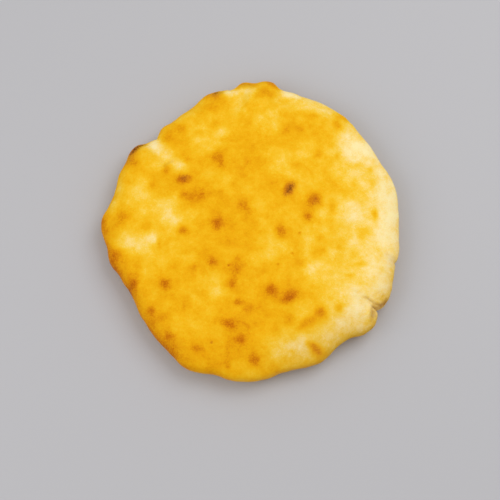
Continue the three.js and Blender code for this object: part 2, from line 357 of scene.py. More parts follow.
# Blisters browner than the crust round them
TOASTED = (
    Spot(26.3, 20.3, 5.2, 2.9, 0.54, 58), Spot(-44.2, 28, 4.8, 3.3, 0.49, 12),
    Spot(-48.4, 26.3, 2.6, 1.7, 0.14, 10), Spot(43, 12.3, 3.8, 5.2, 0.47),
    Spot(39, 0.9, 2.7, 2.6, 0.34), Spot(39, 0, 4.4, 4.4, 0.1),
    Spot(27.4, -53.6, 4.4, 3.6, 0.28, 35), Spot(22.6, -56.6, 5, 2.4, 0.24, 12),
    Spot(26, -51, 8, 6, 0.08, 20), Spot(13.8, -49.6, 3.4, 3.9, 0.35),
    Spot(14.5, -54.5, 4.6, 3.4, 0.07), Spot(-22.2, -4.4, 3.2, 2.8, 0.25),
    Spot(-24.5, -2.9, 3.8, 1.9, 0.14, -6), Spot(-19.5, -1.2, 2.2, 2.2, 0.12),
    Spot(-22, -7.4, 2, 2, 0.14), Spot(20.3, -9.2, 3, 3.2, 0.34), Spot(20.6, -13, 2.2, 2.6, 0.12),
    Spot(-55.6, -45.5, 3.4, 3, 0.38, -45), Spot(-58, -43.4, 3, 2, 0.12, -30),
    Spot(-25.2, -30.8, 3.2, 2.4, 0.34, -10), Spot(-11.6, -45.6, 2.6, 3.8, 0.31),
    Spot(-9, -35.6, 3.4, 3.6, 0.2), Spot(-12, -72.6, 4.2, 3.1, 0.31, -15),
    Spot(-17, -71.6, 2.6, 1.8, 0.18, 15), Spot(-20.3, -69.4, 2.4, 1.5, 0.13),
    Spot(-5.4, -82.8, 3.6, 3.4, 0.29, 30), Spot(2, -95, 3.2, 4.2, 0.33, -10),
    Spot(6, -98, 3, 4, 0.12), Spot(44, -88, 3.9, 3.4, 0.57, -40),
    Spot(39.8, -85.2, 3, 1.9, 0.4, -20), Spot(46.4, -64.2, 4.1, 3.7, 0.37, 10),
    Spot(38.4, -70.6, 3.8, 2.8, 0.26, 25), Spot(34, -73.8, 3.6, 2.2, 0.15, 8),
    Spot(-44.4, -9, 2.9, 2.4, 0.29), Spot(-46.2, -6.4, 3.6, 3.2, 0.1, -30),
    Spot(-77.2, -44.2, 3.6, 5, 0.3), Spot(-91, -24.5, 3.6, 6.5, 0.17, 15),
    Spot(-87, -26.4, 7, 5, 0.22, -60), Spot(-53, -79, 3.2, 2.5, 0.3),
    Spot(-33.6, -87.6, 2.9, 2, 0.26), Spot(-37, -87, 3, 1.8, 0.08), Spot(-51, -87, 4, 3, 0.14, -40),
    Spot(-64.8, -63, 2.8, 3, 0.17), Spot(-7.4, -57.8, 2.6, 2.2, 0.31), Spot(-0.6, -62, 3, 2, 0.16),
    Spot(-14, -98, 2.2, 3, 0.17), Spot(-1.6, -73.6, 2.4, 1.3, 0.07, -30),
    Spot(-85.4, 2.6, 3.4, 4, 0.26), Spot(-22.6, 44.6, 4, 3.8, 0.28),
    Spot(-19.4, 38, 1.8, 3.6, 0.17), Spot(-33.6, 17.8, 8, 4.6, 0.16), Spot(-30.5, 17, 3.6, 3, 0.07),
    Spot(-36.5, 12, 4, 4.4, 0.1), Spot(-44.5, 15.6, 2.8, 2.8, 0.18), Spot(-4.6, 9.4, 4, 4.4, 0.2),
    Spot(-3.4, 3, 4, 4, 0.12), Spot(-18.5, 17.2, 2.4, 1.7, 0.16), Spot(-9, 15.2, 2, 1.6, 0.1),
    Spot(-80.2, 41.8, 4.6, 4, 0.14), Spot(-75, 36, 5, 3, 0.08), Spot(-56.2, 36, 2.5, 4, 0.33, -12),
    Spot(-65.5, 24, 2.8, 2.4, 0.13), Spot(-47.4, 66, 4, 3.4, 0.22), Spot(-57.6, 61, 3.6, 4.4, 0.22),
    Spot(-42, 43, 4, 4, 0.1), Spot(-23.4, 92, 4.6, 3, 0.22), Spot(-22.5, 86.5, 6, 5, 0.1),
    Spot(-26.5, 80.4, 5, 4, 0.12), Spot(12, 96, 8, 4, 0.14), Spot(14, 93.4, 3, 3, 0.12),
    Spot(34, 64, 4.6, 4, 0.13), Spot(24.4, 65, 2.4, 4, 0.15, -20), Spot(22.6, 55.5, 5, 4, 0.08),
    Spot(46.4, 48, 2, 3.8, 0.15), Spot(60.3, 70, 3.2, 4, 0.2), Spot(47.2, 67.4, 1.6, 1.4, 0.1),
    Spot(55.6, 8.2, 2.6, 4.2, 0.26), Spot(36, 8, 4, 5, 0.1), Spot(47.6, -22.6, 3, 2.2, 0.23),
    Spot(32.6, -11.4, 1.2, 2, 0.08), Spot(25.6, -68.8, 3.2, 2.6, 0.24),
    Spot(-36.4, -34.8, 1.6, 3, 0.08), Spot(-75.2, -33, 2.6, 4.6, 0.08),
    Spot(-8.4, -28, 2.8, 2.2, 0.17), Spot(-14.4, -33.3, 0.7, 0.7, 0.4),
    Spot(-25, -84, 0.7, 0.6, 0.34), Spot(18.7, -32.2, 0.7, 0.6, 0.26),
    Spot(27.8, -24.6, 0.8, 0.6, 0.34), Spot(33, -10.4, 0.7, 0.9, 0.3),
)

# Places a shade deeper than the crust round them
TANNED = (
    Spot(84, 4.5, 2, 3.2, 0.38), Spot(76, -8, 4, 2.8, 0.26, 10), Spot(74, -12.5, 2, 3, 0.14),
    Spot(47, -14, 2.6, 4, 0.13), Spot(62, -15, 5, 2.5, 0.14, 30), Spot(60, -21, 3, 1.6, 0.12),
    Spot(68.5, -23, 2.6, 3, 0.17), Spot(82.5, -18, 2.8, 2.4, 0.12), Spot(74, -30.6, 4.4, 1.8, 0.22),
    Spot(66, -38.6, 2.6, 1.5, 0.2), Spot(86, -26, 2.4, 2, 0.08), Spot(42, -25, 3, 2.6, 0.1),
    Spot(34, -31, 3, 3, 0.1), Spot(55, 23, 8, 6, 0.15), Spot(53, -3, 5, 3, 0.08),
    Spot(83.6, 28.5, 3, 2.6, 0.13), Spot(71, 26, 2.6, 4, 0.1), Spot(72, 40, 5, 1.8, 0.15),
    Spot(81.6, 37, 1.6, 1.8, 0.2), Spot(65, 35, 2.4, 2, 0.08), Spot(46, 61, 4, 3, 0.07),
    Spot(43, 77.4, 3, 2.6, 0.15), Spot(60, 78, 2, 2, 0.1), Spot(31, 38, 3, 3, 0.1),
    Spot(53, 33, 4, 6, 0.1), Spot(59.4, 45.6, 1.4, 2.2, 0.18), Spot(40, 69, 6, 3, 0.05),
    Spot(6, 92, 4, 4, 0.08), Spot(22.6, 88, 2.2, 2, 0.1), Spot(0, 75, 3, 9, 0.07),
    Spot(-34, 61.6, 3, 2.4, 0.13), Spot(-11, 56, 4.4, 1.6, 0.1), Spot(3, 45, 9, 10, 0.06),
    Spot(16, 25, 3, 2, 0.06), Spot(12.6, 0.6, 2.4, 1.8, 0.08), Spot(3, -5, 3, 2.2, 0.07),
    Spot(0.4, -16, 3, 2.2, 0.1), Spot(-5.6, -12, 3.4, 2.8, 0.13), Spot(-16, -18, 6, 2, 0.06),
    Spot(-31, -22, 5, 3, 0.08), Spot(-69, -5.4, 3, 2.4, 0.12), Spot(-60, -7, 2.2, 1.8, 0.08),
    Spot(-57, -20.5, 4, 3, 0.1), Spot(-53.4, -14.2, 2, 1.4, 0.1), Spot(-60.3, -16, 1.2, 4, 0.16),
    Spot(-46.4, 8, 2.4, 2.4, 0.12), Spot(-57, -68, 3, 2, 0.06), Spot(-52.4, -72.4, 2, 3, 0.08),
    Spot(-14.5, -88, 1.6, 8, 0.08), Spot(-27, -91, 5, 5, 0.09), Spot(10, -66, 3, 2.4, 0.05),
    Spot(27, -80, 2, 1.6, 0.12), Spot(27, -89, 2.4, 1.6, 0.12), Spot(8.6, -36, 3, 2, 0.08),
    Spot(58, -60.6, 2.8, 2.7, 0.38), Spot(39, -49, 8, 7, 0.11), Spot(51.6, -53.6, 2, 2, 0.06),
    Spot(-49, -34, 3, 2, 0.06), Spot(-50, 56.5, 4, 4, 0.06), Spot(-22, 38, 8, 6, 0.1),
    Spot(-22, 0, 6, 24, 0.08, 6), Spot(0, 0, 5, 14, 0.07), Spot(-12, -38, 7, 7, 0.06),
    Spot(21, -12, 5, 10, 0.05), Spot(45, 12, 9, 8, 0.07), Spot(52, 58, 12, 14, 0.08, 30),
    Spot(-8, -66, 16, 8, 0.1), Spot(-4, -86, 18, 9, 0.12), Spot(46, -66, 8, 6, 0.06, 20),
    Spot(87, 34, 6, 8, 0.08), Spot(62, -46, 4.4, 4, 0.15), Spot(-92, 8, 6, 14, 0.1),
    Spot(21, -28, 3.4, 3.4, 0.12), Spot(75, 11, 5, 4, 0.12), Spot(47.8, 8.6, 2.8, 2.6, 0.1),
    Spot(-13.4, 36.6, 3, 4, 0.08), Spot(-69, 32, 5, 4, 0.08), Spot(57, 54, 3, 3, 0.07),
    Spot(-49, -31, 4, 3.4, 0.08), Spot(19, 60, 3, 6, 0.07), Spot(20, -66, 3.4, 3, 0.06),
    Spot(-49, -55, 3.6, 3, 0.1), Spot(-48, -80, 3.6, 3.2, 0.1), Spot(-44, 45, 3.4, 3.2, 0.08),
    Spot(-14, 6.6, 2.6, 3, 0.08), Spot(-60, 6.4, 3.6, 3, 0.08), Spot(-71, -14, 3, 2.8, 0.1),
    Spot(76, 1, 5, 2.6, 0.09), Spot(81.5, -11, 3, 3, 0.07), Spot(57.5, 52.5, 3, 3, 0.06),
    Spot(63.5, -34.5, 3, 2.6, 0.06), Spot(-48, 2, 5, 3, 0.06), Spot(-74, 0, 3, 3, 0.06),
)

# Places that stayed pale, the palest with the highest strength
PALE = (
    Spot(71, 54, 9, 7, 0.3, -25), Spot(79, 52, 6, 5, 0.14, -30), Spot(69, 47, 6, 5, 0.1),
    Spot(51, 79.6, 9, 3.4, 0.2, -22), Spot(40, 85, 7, 4, 0.12, -20),
    Spot(27, 94.6, 8, 3.4, 0.34, -18), Spot(35, 47, 5, 5, 0.14), Spot(32, 86, 8, 5, 0.1, -15),
    Spot(65, 62.5, 5, 3, 0.15), Spot(88, 34, 4, 8, 0.12), Spot(66, 8, 9, 6, 0.2, 15),
    Spot(74, 4, 7, 6, 0.08), Spot(66, 0, 7, 4, 0.1), Spot(47, 3.4, 3.2, 3.4, 0.18),
    Spot(7, 73, 3, 3, 0.12), Spot(14.5, 72, 4.6, 9, 0.14), Spot(18, 65, 2.5, 4, 0.06),
    Spot(18, 45, 8, 6, 0.11), Spot(20, 37.5, 6, 5, 0.06), Spot(27, 31.5, 3, 3, 0.08),
    Spot(-20, 62, 6, 3.2, 0.22, 30), Spot(-33, 57, 4, 2, 0.14), Spot(-32, 66, 6, 3, 0.1),
    Spot(-27, 52, 5, 4, 0.12), Spot(-35, 47, 4, 4, 0.08), Spot(-25, 31, 4.5, 4, 0.13),
    Spot(-16.5, 24, 3, 5.4, 0.13), Spot(6.6, 10, 3.2, 3.6, 0.16), Spot(9.4, -4, 3, 3.4, 0.1),
    Spot(16, -19.6, 6.5, 5.4, 0.17), Spot(6, -27.4, 4.4, 3, 0.17), Spot(16, -26, 3, 3, 0.1),
    Spot(-38, 3, 4, 4, 0.12), Spot(-20.4, -51.6, 5, 4.2, 0.2), Spot(-23, -43, 5, 6, 0.15),
    Spot(5, -44, 3, 3, 0.06), Spot(-29, -69, 3, 4, 0.1), Spot(-50, -68, 4, 4, 0.09),
    Spot(-66, -38, 3, 3, 0.08), Spot(-64, -13.4, 5, 3.6, 0.34, 10), Spot(-77, -17.6, 8, 5, 0.28, 8),
    Spot(-87, -15, 6, 4, 0.14), Spot(-68, -24, 5, 3.4, 0.13), Spot(-52, -23, 4, 5, 0.09),
    Spot(-53.8, 2.4, 5.6, 5.2, 0.24), Spot(-49, -3, 4.4, 4.4, 0.18), Spot(-54, 11, 5, 4, 0.15),
    Spot(-62, 12.6, 4.6, 2.6, 0.12, -10), Spot(-68, 7, 7, 4, 0.08), Spot(-75, 20, 6, 9, 0.22),
    Spot(-68, 39.5, 6, 4.6, 0.1), Spot(-66, 57, 4.5, 4.5, 0.33), Spot(-62.5, 52, 5, 3.2, 0.22, -60),
    Spot(-57.5, 47, 6, 4.6, 0.3, -40), Spot(-47.6, 38.6, 6, 3.8, 0.3, -24),
    Spot(-10, 85, 3.4, 8, 0.14, -12), Spot(-13, 95, 6, 3.4, 0.34, 8), Spot(-4, 96, 6, 2.8, 0.28),
    Spot(-1.5, 92, 3, 4, 0.12), Spot(69, -50.4, 6, 4.4, 0.14, -10), Spot(63, -66, 9, 7, 0.18, 35),
    Spot(78, -35, 5, 6, 0.1), Spot(73, -60, 6, 6, 0.1), Spot(30, -85, 16, 8, 0.26, 12),
    Spot(38, -36, 6, 3, 0.12, 15), Spot(31, -63, 5, 3.4, 0.08, 20), Spot(57, -42, 6, 5, 0.1),
    Spot(45, -34, 6, 6, 0.1), Spot(38.5, -16, 3, 9, 0.1), Spot(-60, 0, 13, 14, 0.1),
    Spot(4, 80, 12, 12, 0.09), Spot(-26, 92, 8, 7, 0.1), Spot(80, -12, 9, 18, 0.08),
    Spot(50, -42, 14, 12, 0.06), Spot(63, 36, 7, 9, 0.07), Spot(22.4, 84, 6, 6, 0.13),
    Spot(2.8, -32, 5, 3.4, 0.13), Spot(-17, -82.8, 5, 2.8, 0.13), Spot(5.4, -88, 3, 3.4, 0.09),
    Spot(-60.6, -50.8, 4, 3.8, 0.12), Spot(47.4, -54, 3.4, 4, 0.1), Spot(87.6, 13, 3.2, 8, 0.12),
    Spot(88.2, -3, 2.8, 4.6, 0.12), Spot(43.8, 21, 4, 2.8, 0.09), Spot(34, 53, 6, 4, 0.07),
    Spot(55, 47, 5, 4, 0.05), Spot(-14, 75, 9, 3.8, 0.07), Spot(2.6, 65.8, 2.4, 4.6, 0.11),
    Spot(-39, -7.6, 3, 3.4, 0.1), Spot(-54, -9, 4, 3.4, 0.1), Spot(-35.8, -29.4, 3, 2.8, 0.08),
    Spot(-59, -28, 3, 8, 0.07, 20), Spot(15.6, 20, 4, 3.2, 0.1), Spot(-23, 22, 2.4, 5, 0.07),
    Spot(34, -8, 5, 4, 0.08), Spot(75.4, -23, 3, 2.4, 0.08), Spot(69, 34, 5, 4, 0.07),
    Spot(-43.6, 22, 3.4, 2.4, 0.12), Spot(29, -73, 4, 3, 0.06), Spot(-58.5, 40.5, 3, 2.4, 0.1),
    Spot(8, -77.4, 6, 2.6, 0.09), Spot(37, -24, 3, 5, 0.08), Spot(40, -14, 3, 3, 0.07),
    Spot(53, -62, 4, 4.6, 0.07), Spot(-5.6, 81, 3, 6, 0.07), Spot(-12.5, -51.5, 3, 2.4, 0.07),
    Spot(2.6, -41, 3, 4, 0.06), Spot(-70, 56, 3, 3, 0.06), Spot(79.5, -45.5, 5.5, 2.8, 0.08),
)

# Places of the rim that are browner (+) or paler (-) than the crust round them
RIM_BROWNED = (
    RimMark(212, 34, 0, 8, 0.24), RimMark(184, 7, 2, 6, 0.16), RimMark(236, 18, 3, 10, 0.16),
    RimMark(150.8, 1.8, 15, 4, 0.1), RimMark(153, 2, 7.5, 3, 0.08), RimMark(145.5, 4.5, 8, 3, 0.3),
    RimMark(147.5, 2.6, 13, 3.4, 0.08), RimMark(144, 5, 3.6, 4.5, 0.34),
    RimMark(103, 3.4, 4.6, 3.4, 0.26), RimMark(102.4, 2.4, 10.5, 3.6, 0.22),
    RimMark(91, 4, 7, 2.6, 0.28), RimMark(81.5, 3, 7, 3, 0.32), RimMark(50.4, 3.8, 6.6, 4, 0.34),
    RimMark(0, 30, 9, 9, -0.27), RimMark(313, 15, 10, 14, -0.07), RimMark(312, 11, 1, 6, 0.19),
    RimMark(290, 13, 14, 11, -0.06), RimMark(343, 16, 1, 6, 0.1), RimMark(318, 4, 13, 7, 0.06),
    RimMark(324, 1.6, 5, 2.5, -0.1), RimMark(327, 3, 15, 5, 0.06), RimMark(336, 4, 9, 4, 0.07),
    RimMark(356.5, 9, 8, 7, 0.15), RimMark(17.8, 4, 7, 4, 0.13), RimMark(22, 4.5, 16, 5, 0.1),
    RimMark(27, 3, 11, 4, 0.1), RimMark(30, 2, 13.5, 3, -0.06), RimMark(36, 4, 10, 5, 0.09),
    # The pale marks at 62, 75.5 and 99.3 degrees are partly paler crust and partly painted light
    RimMark(46, 2.5, 9, 3.5, -0.12), RimMark(62, 7.5, 5.5, 5.5, -0.24),
    RimMark(56, 2.6, 12, 3, 0.08), RimMark(60, 3, 15, 4, 0.07), RimMark(72, 2.5, 10.5, 3, 0.12),
    RimMark(75.5, 4, 5, 3.5, -0.2), RimMark(77, 3, 13.5, 3.5, -0.1),
    RimMark(84.4, 2.2, 9.5, 2.6, -0.24), RimMark(88, 2.6, 12.5, 3, -0.1),
    RimMark(91, 3, 20, 4, -0.08), RimMark(92.6, 3, 15, 3, 0.12), RimMark(95.8, 2, 12, 3, 0.07),
    RimMark(99.3, 3, 9, 6, -0.2), RimMark(119, 6, 11, 4, -0.09), RimMark(129, 5, 11, 3, -0.08),
    RimMark(138, 2.5, 8, 4, -0.14), RimMark(142, 3, 15, 4, -0.13), RimMark(161, 8, 9.5, 4, -0.2),
    RimMark(162, 2.5, 18, 3, 0.08), RimMark(171, 4, 11, 6, -0.33), RimMark(178, 3.4, 8, 3.4, 0.17),
    RimMark(191.5, 2.5, 10.5, 4, 0.1), RimMark(198.6, 2.5, 10, 4, -0.1),
    RimMark(208.5, 3, 11, 4, 0.13), RimMark(225, 3, 5, 3, -0.12), RimMark(225.5, 4, 15, 4, 0.11),
    RimMark(231, 3, 18, 3, 0.08),
)

# Charred lobes at the far side
RIM_SCORCHED = (
    RimMark(149.6, 1.8, 5.4, 2.8, 0.26), RimMark(147, 2.2, 8.2, 3.8, 0.42),
    RimMark(142.8, 3, 8.3, 3.8, 0.76), RimMark(102.7, 2.5, 7.8, 2.2, 0.62),
    RimMark(90.8, 3.2, 8.4, 2, 0.26), RimMark(81.5, 2.4, 6, 2, 0.14),
)

# Painted shade, tan-brown, in folds and on sides of the rim, most of them at its doughy near right
RIM_SHADED = (
    RimMark(321.5, 4, 1, 6, 0.4), RimMark(315.5, 4, 1, 7, 0.2), RimMark(328.5, 2.4, 5, 3, 0.3),
    RimMark(330, 4, 3, 6, 0.26), RimMark(336, 7, 4, 7, 0.18), RimMark(352, 16, 2, 7, 0.17),
    RimMark(303, 14, 2, 8, 0.22), RimMark(307, 17, 12, 15, 0.14), RimMark(289, 13, 13, 11, 0.16),
    RimMark(345.3, 1.6, 8, 3.5, 0.19), RimMark(165, 9, 9, 4, 0.1), RimMark(90, 2.4, 9.4, 2, 0.2),
)

# Folds finer than the imported solid's, most at the pinch of the near right rim; their shade is
# painted
WRINKLES = (
    Wrinkle(
        ((74.5, -52.4), (77.4, -53.2), (80, -54.8), (82.6, -56.2), (86.4, -56.8)), 0.6, 0.6, 0.42),
    Wrinkle(((85, -57.8), (88.6, -56), (92, -51.6)), 0.9, 0.5, 0.46),
    Wrinkle(((80.4, -57), (82.2, -58.6), (85.4, -58.6)), 0.8, 0.5, 0.24),
    Wrinkle(((80.2, -57), (80.8, -61), (80.2, -66.5)), 1, 0.6, 0.22),
    Wrinkle(((82.4, -59.6), (82.2, -63), (81.4, -66)), 0.7, 0.4, 0.2),
    Wrinkle(((80.4, -60), (80.2, -64.5), (79.2, -69.5)), 1.5, 0, 0.29),
    Wrinkle(((78.6, -55.8), (78.3, -60.5), (77, -66)), 1.3, -0.9, 0),
    Wrinkle(((83.6, -59.8), (83.2, -62), (82.6, -64.5)), 1.6, -0.8, 0),
    Wrinkle(((79.5, -53), (83, -51), (87, -47.8)), 1, 0.25, 0.08),
    Wrinkle(((82, -54.6), (86, -52.6), (89.5, -49)), 1, 0.3, 0.1),
    Wrinkle(((66.5, -47.5), (70, -49.5), (74, -51)), 0.9, 0.2, 0.05),
    Wrinkle(((68, -53), (72.5, -53.6), (77, -53)), 0.9, 0.2, 0.05),
    Wrinkle(((70, -57), (74, -57.6)), 0.9, 0.15, 0.03),
    Wrinkle(((-58.4, 36.6), (-57, 39.8), (-54.6, 41.6), (-51.6, 42.4)), 1, 0.5, 0.2),
    Wrinkle(((-60.5, 37.5), (-59.6, 41), (-57.6, 43.4)), 0.7, 0.2, 0.04),
    Wrinkle(((-66, 47), (-61.5, 45), (-59, 41.5)), 0.8, 0.2, 0.03),
    Wrinkle(((-70, 52), (-65.5, 50.5), (-62, 47)), 0.9, 0.25, 0.02),
    Wrinkle(((98, -24.8), (94.5, -23.6), (89.5, -22.4)), 0.9, 0.25, 0.14),
    Wrinkle(((19.5, 101), (20.5, 95), (20, 88)), 1, 0.35, 0.04),
    Wrinkle(((2.5, 95), (-0.5, 87), (-3.6, 79)), 1.6, -0.3, 0),
    Wrinkle(((-4, 99), (3, 99.5), (9, 98.5)), 1, 0.25, 0.03),
)


def covered(marks: tuple[Spot | RimMark, ...], first: Array, second: Array) -> Array:
    """How strongly marks cover each place together, at x and y or at its direction and inset."""
    return sum(mark.cover(first, second) for mark in marks)


class Zone(Enum):
    """The three stretches of the skin, from the middle of the top to the middle of the base."""

    TOP = 0
    HEEL = 1
    BASE = 2


@dataclass(frozen=True)
class BreadForm:
    """The bread's true form: the driving sizes, and the surface that they make."""

    radius: float = 101.0
    crown: float = 28.0
    left_waist: float = 10.0
    right_waist: float = 12.5
    heel: float = 13.0
    left_fullness: float = 3.3
    right_fullness: float = 2.4
    left_side: float = 190.0
    lobe_fade: float = 2.0
    nick_fade: float = 9.0
    nick_at_base: float = 0.35
    section_steps: int = 4000

    def reach(self, share: Array, angle: Array, nicked: Array) -> Array:
        """Distance from the middle.

        Args:
            share: how far out to the widest line, from 0 to 1.
            angle: the direction in degrees.
            nicked: how much of each nick counts, from 0 to 1.

        Returns:
            The distance for each direction.
        """
        reach = np.full_like(angle, self.radius)
        for lobe in LOBES:
            reach += lobe.push(angle) * share ** self.lobe_fade
        for nick in NICKS:
            reach -= nicked * nick.cut(angle)
        return share * reach

    def leftness(self, angle: Array) -> Array:
        """1 on the left of the bread and 0 on the right."""
        return (1.0 + np.cos(np.radians(angle - self.left_side))) / 2.0

    def waist(self, angle: Array) -> Array:
        """Height of the widest line."""
        return blend(self.right_waist, self.left_waist, self.leftness(angle))

    def shoulder(self, share: Array, power: Array) -> Array:
        """Share of the crown's height that is left at a share of the way out."""
        return np.maximum(0.0, 1.0 - share ** power) ** (1.0 / power)

    def top_height(self, x: Array, y: Array) -> Array:
        """Height of the top face before its shoulder rounds it off.

        Args:
            x: distances to the right.
            y: distances to the far side.

        Returns:
            The height at each place.
        """
        height = np.full_like(x, self.crown)
        for swell in SWELLS + BLISTERS:
            height += swell.height(x, y)
        for wave in WAVES:
            height += wave.lift(x, y)
        for crease in CREASES:
            height -= crease.depth(x, y)
        return height

    def top(self, share: Array, angle: Array) -> Array:
        """Lays out places on the top.

        Args:
            share: how far out they lie, from 0 in the middle to 1 at the widest line.
            angle: their directions in degrees.

        Returns:
            The places, one in each row.
        """
        waist = self.waist(angle)
        places = laid(self.reach(share, angle, share ** self.nick_fade), angle, waist)
        power = blend(self.right_fullness, self.left_fullness, self.leftness(angle))
        lift = self.top_height(places[:, 0], places[:, 1]) - waist
        places[:, 2] += lift * self.shoulder(share, power)
        return places

    def underside_heel(self, share: Array, angle: Array) -> Array:
        """Lays out places on the heel.

        Args:
            share: how far round it they lie, from 0 at the widest line to 1 at the base's edge.
            angle: their directions in degrees.

        Returns:
            The places, one in each row.
        """
        turn = share * math.pi / 2
        reach = self.reach(np.ones_like(angle), angle, blend(1.0, self.nick_at_base, share))
        height = self.waist(angle) * (1 - np.sin(turn))
        return laid(reach - self.heel * (1 - np.cos(turn)), angle, height)

    def base(self, share: Array, angle: Array) -> Array:
        """Lays out places on the flat base.

        Args:
            share: how far out they lie, from 0 in the middle to 1 at the base's edge.
            angle: their directions in degrees.

        Returns:
            The places, one in each row.
        """
        full = np.ones_like(angle)
        edge = self.reach(full, angle, full * self.nick_at_base) - self.heel
        return laid(share * edge, angle, np.zeros_like(angle))

    def section(self) -> tuple[Array, Array]:
        """The mean section of the top, from the middle to the widest line.

        Returns:
            Shares of the way out, and the length along the skin up to each.
        """
        share = np.linspace(0.0, 1.0, self.section_steps + 1)
        power = (self.left_fullness + self.right_fullness) / 2
        waist = (self.left_waist + self.right_waist) / 2
        height = (self.crown - waist) * self.shoulder(share, power)
        steps = np.hypot(np.diff(share * self.radius), np.diff(height))
        return share, np.concatenate([[0.0], np.cumsum(steps)])

    def even_shares(self, pitch: float) -> Array:
        """Shares that space rings evenly along the mean section of the top.

        Args:
            pitch: the distance between rings in millimetres.

        Returns:
            The shares, from the first ring to the widest line.
        """
        share, length = self.section()
        count = round(length[-1] / pitch)
        return np.interp(length[-1] * np.arange(1, count + 1) / count, length, share)

    def heel_length(self) -> float:
        """Length along the heel's section, from the widest line to the base's edge."""
        return math.pi / 2 * (self.heel + self.right_waist) / 2

    def inset(self, zone: Array, share: Array) -> Array:
        """Way along the skin from the widest line.

        Args:
            zone: the stretch of the skin that each place belongs to.
            share: its share of that stretch.

        Returns:
            The way in millimetres, positive on the top and negative below the widest line.
        """
        shares, length = self.section()
        up = length[-1] - np.interp(share, shares, length)
        down = -self.heel_length() * np.where(zone == Zone.HEEL.value, share, 1.0)
        return np.where(zone == Zone.TOP.value, up, down)


@dataclass(frozen=True)
class Ring:
    """One closed row of points round the bread."""

    zone: Zone
    share: float
    sides: int


@dataclass
class Skin:
    """The bread's skin as a mesh: places, triangles and what each place belongs to."""

    places: Array
    triangles: Array
    zone: Array
    share: Array
    angle: Array

    def upward(self, upright: float = 0.05, lying: float = 0.5) -> Array:
        """1 where the skin faces up, fading to 0 where it stands upright."""
        return rise_between(upright, lying, self.outward()[:, 2])

    def outward(self) -> Array:
        """Which way the skin faces.

        Returns:
            The outward direction at each place, of length 1.
        """
        corners = self.places[self.triangles]
        facing = np.cross(corners[:, 1] - corners[:, 0], corners[:, 2] - corners[:, 0])
        total = np.zeros_like(self.places)
        for corner in range(3):
            np.add.at(total, self.triangles[:, corner], facing)
        return total / np.linalg.norm(total, axis=1, keepdims=True)


@dataclass
class SkinWeaver:
    """Lays rings of points over the bread's form and joins them into one closed skin."""

    form: BreadForm = field(default_factory=BreadForm)
    pitch: float = 0.85
    heel_pitch: float = 0.95
    base_growth: float = 1.035
    coarsest: float = 3.0
    fewest_sides: int = 6

    def sides(self, share: float, pitch: float) -> int:
        """How many points a ring has at a share of the way out."""
        return max(self.fewest_sides, round(math.tau * share * self.form.radius / pitch))

    def rings(self) -> list[Ring]:
        """Spaces the rings evenly over the top and heel, and wider and wider over the base.

        Returns:
            The rings from the middle of the top to the middle of the base.
        """
        shares = self.form.even_shares(self.pitch)
        rings = [Ring(Zone.TOP, share, self.sides(share, self.pitch)) for share in shares]
        count, sides = round(self.form.heel_length() / self.heel_pitch), rings[-1].sides
        rings += [Ring(Zone.HEEL, k / count, sides) for k in range(1, count + 1)]
        edge = self.form.radius - self.form.heel
        pitch = self.heel_pitch
        reach = edge - pitch
        while reach > pitch:
            pitch = min(self.coarsest, pitch * self.base_growth)
            rings.append(Ring(Zone.BASE, reach / edge, self.sides(reach / self.form.radius, pitch)))
            reach -= pitch
        return rings

    @staticmethod
    def stitch(first: int, first_sides: int, second: int, second_sides: int) -> list[Triangle]:
        """Joins two neighbouring rings, always stepping along the one that lags behind.

        Args:
            first: number of the first ring's first point.
            first_sides: how many points the first ring has.
            second: number of the second ring's first point.
            second_sides: how many points the second ring has.

        Returns:
            The triangles, with their faces out.
        """
        triangles = []
        i = k = 0
        while i < first_sides or k < second_sides:
            a, b = first + i % first_sides, second + k % second_sides
            first_lags = (i + 0.5) * second_sides <= (k + 0.5) * first_sides
            if k >= second_sides or (i < first_sides and first_lags):
                i += 1
                triangles.append((a, b, first + i % first_sides))
            else:
                k += 1
                triangles.append((a, b, second + k % second_sides))
        return triangles

    def weave(self) -> Skin:
        """Lays and joins all rings.

        Returns:
            The skin, centred over its own footprint.
        """
        rings = self.rings()
        zone = [Zone.TOP.value]
        share, angle, starts = [0.0], [0.0], []
        for ring in rings:
            starts.append(len(share))
            zone += [ring.zone.value] * ring.sides
            share += [ring.share] * ring.sides
            angle += [PINCH_ANGLE + 360.0 * i / ring.sides for i in range(ring.sides)]
        hub = len(share)
        zone = np.array(zone + [Zone.BASE.value])
        share, angle = np.array(share + [0.0]), np.array(angle + [0.0])

        triangles = [(0, 1 + i, 1 + (i + 1) % rings[0].sides) for i in range(rings[0].sides)]
        for k in range(1, len(rings)):
            triangles += self.stitch(starts[k - 1], rings[k - 1].sides, starts[k], rings[k].sides)
        last, count = starts[-1], rings[-1].sides
        triangles += [(hub, last + (i + 1) % count, last + i) for i in range(count)]

        places = np.empty((len(share), 3))
        form = self.form
        laid_by = {Zone.TOP: form.top, Zone.HEEL: form.underside_heel, Zone.BASE: form.base}
        for stretch, lay in laid_by.items():
            chosen = zone == stretch.value
            places[chosen] = lay(share[chosen], angle[chosen])
        places[:, :2] -= (places[:, :2].min(0) + places[:, :2].max(0)) / 2
        return Skin(places, np.array(triangles), zone, share, angle)


